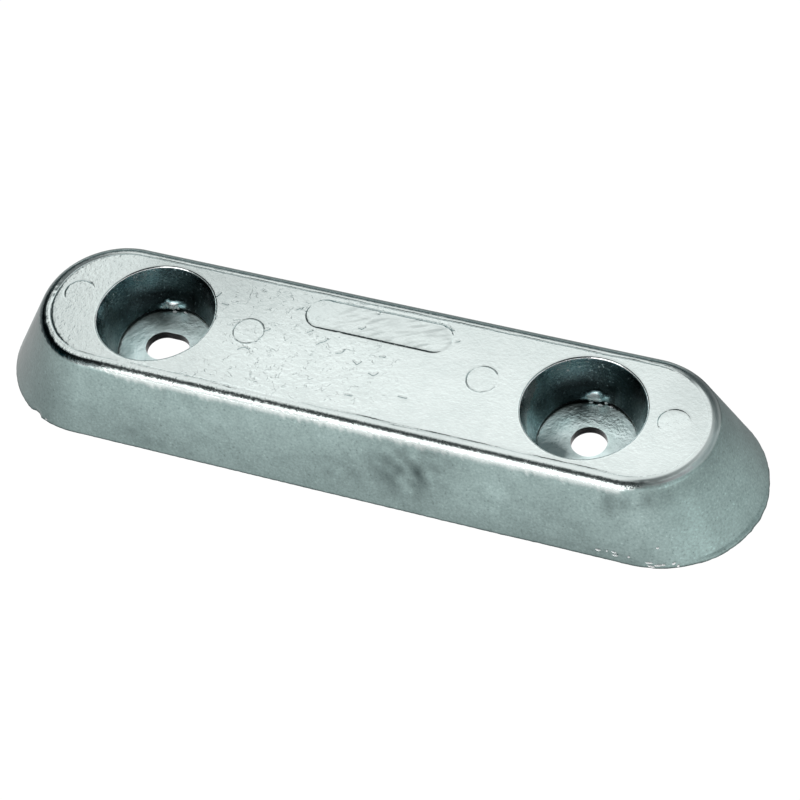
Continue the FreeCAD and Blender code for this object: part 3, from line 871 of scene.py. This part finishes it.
# The coat lies in soft waves of 4 mm, with a grain that is drawn at 1 mm, because the real one is finer than a pixel.
waves = node(tree, "TexNoise", {"Vector": mm, "Scale": 1 / 4, "Detail": 2.0, "Distortion": 0.5}).outputs["Fac"]
bump = node(tree, "Bump", {"Height": waves, "Distance": 0.00011, "Strength": 1.0}).outputs["Normal"]
fine = node(tree, "TexNoise", {"Vector": mm, "Scale": 1 / 1.0, "Detail": 2.0, "Roughness": 0.6}).outputs["Fac"]
bump = node(tree, "Bump", {"Height": fine, "Distance": 0.00012, "Strength": 1.0, "Normal": bump}).outputs["Normal"]
tree.links.new(bump, shader.inputs["Normal"])
side = node(tree, "SeparateXYZ", {0: mm}).outputs["X"]
side = node(
    tree, "MapRange", {"Value": side, "From Min": -60, "From Max": 60, "To Min": 0.36, "To Max": 0.28}
).outputs["Result"]
tree.links.new(side, shader.inputs["Roughness"])
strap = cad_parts["steel_strap"]
strap.data.materials.clear()
strap.data.materials.append(steel)

# STUDIO FLOOR
# A plain white sweep: a level floor that turns up at its far rim. The camera, reflections and clear paths see it nearly
# self-lit, so that it reads white, and the rest of it is matt and keeps the shadow of the anode.

# The sweep's section, as metres out and up. It starts just under the hull face.
SWEEP = ((0, -0.0001), (1.5, -0.0001), (4.0, -0.0001), (4.7, 0.12), (5.1, 0.5), (5.25, 1.3))
bm = bmesh.new()
line = [bm.verts.new((out, 0, up)) for out, up in SWEEP]
edges = [bm.edges.new(pair) for pair in zip(line, line[1:])]
bmesh.ops.spin(bm, geom=line + edges, cent=(0, 0, 0), axis=(0, 0, 1), angle=2 * pi, steps=96, use_merge=True)
bmesh.ops.remove_doubles(bm, verts=bm.verts, dist=1e-6)
bmesh.ops.recalc_face_normals(bm, faces=bm.faces)
mesh = bpy.data.meshes.new("studio_floor")
bm.to_mesh(mesh)
bm.free()
floor = bpy.data.objects.new("studio_floor", mesh)
bpy.context.scene.collection.objects.link(floor)
paper = bpy.data.materials.new("matt_white_paper")
paper.use_nodes = True
tree = paper.node_tree
tree.nodes.remove(tree.nodes["Principled BSDF"])
path = node(tree, "LightPath").outputs
seen = node(tree, "Math", {0: path["Is Camera Ray"], 1: path["Is Glossy Ray"]}, operation="ADD").outputs[0]
seen = node(tree, "Math", {0: seen, 1: path["Is Transmission Ray"]}, operation="ADD", use_clamp=True).outputs[0]
matt = node(tree, "BsdfDiffuse", {"Color": linear("#F2F2F2")}).outputs[0]
glow = node(tree, "Emission", {"Color": linear("#FFFFFF"), "Strength": 1.06}).outputs[0]
bright = node(tree, "MixShader", {0: 0.96, 1: matt, 2: glow}).outputs[0]
both = node(tree, "MixShader", {0: seen, 1: matt, 2: bright}).outputs[0]
tree.links.new(both, tree.nodes["Material Output"].inputs["Surface"])
floor.data.materials.append(paper)

# LAMPS
# A large soft box overhead, stronger in its rear half, which the face mirrors, and a soft strip low in front for the
# line along the rolled edge. Two faint cool fills stand behind and at the right, in a world that is nearly dark.


def soft_box(name, place, target, width, height, strength, colour="#FFFFFF"):
    """A rectangular lamp at one point that looks at another; strength is its brightness, 1 being white."""
    light = bpy.data.lights.new(name, "AREA")
    light.shape = "RECTANGLE"
    light.size, light.size_y = width, height
    light.energy = strength * pi * width * height
    light.color = linear(colour)[:3]
    lamp = bpy.data.objects.new(name, light)
    lamp.location = place
    lamp.rotation_mode = "QUATERNION"
    lamp.rotation_quaternion = (Vector(place) - Vector(target)).to_track_quat("Z", "Y")
    lamp.visible_camera = False
    bpy.context.scene.collection.objects.link(lamp)


soft_box("soft_box_overhead", (-0.185, 0.63, 1.2), (-0.185, 0.63, 0), 1.47, 1.38, 1.0)
soft_box("soft_box_rear_half", (-0.185, 1.1, 1.19), (-0.185, 1.1, 0), 1.47, 0.44, 0.35)
soft_box("soft_strip_front", (-0.42, -1.22, 0.57), (0, 0, 0), 1.15, 1.04, 2.2)
soft_box("fill_behind", (-0.6, 1.5, 0.62), (0, 0, 0), 2.2, 1.0, 0.3, "#D8F6FA")
soft_box("fill_right", (1.1, 0.62, 0.95), (0, 0, 0), 2.0, 1.6, 0.36, "#E4F8FA")

world = bpy.data.worlds.new("plain_studio")
world.use_nodes = True
world.node_tree.nodes["Background"].inputs["Color"].default_value = linear("#D8FCFF")
world.node_tree.nodes["Background"].inputs["Strength"].default_value = 0.035
bpy.context.scene.world = world

# CAMERA
# At the photograph's angle: 29 degrees round to the right, 51 degrees up, rolled 10 degrees, with a long lens.

turn, rise, roll = radians(28.71), radians(51.31), radians(-10.44)
right = Vector((cos(turn), sin(turn), 0))
ahead = Vector((-sin(turn) * cos(rise), cos(turn) * cos(rise), -sin(rise)))
up = right.cross(ahead)
aim = Matrix((cos(roll) * right + sin(roll) * up, cos(roll) * up - sin(roll) * right, -ahead)).transposed()
stand = Vector((0.00695, 0.004877, 0.79527))  # metres to its own right, up and back from the hull face's middle
camera = bpy.data.objects.new("camera", bpy.data.cameras.new("camera"))
camera.data.sensor_width = 36
camera.data.lens = 111.63
camera.matrix_world = Matrix.Translation(aim @ stand) @ aim.to_4x4()
bpy.context.scene.collection.objects.link(camera)
bpy.context.scene.camera = camera

bpy.context.scene.view_settings.view_transform = "Standard"
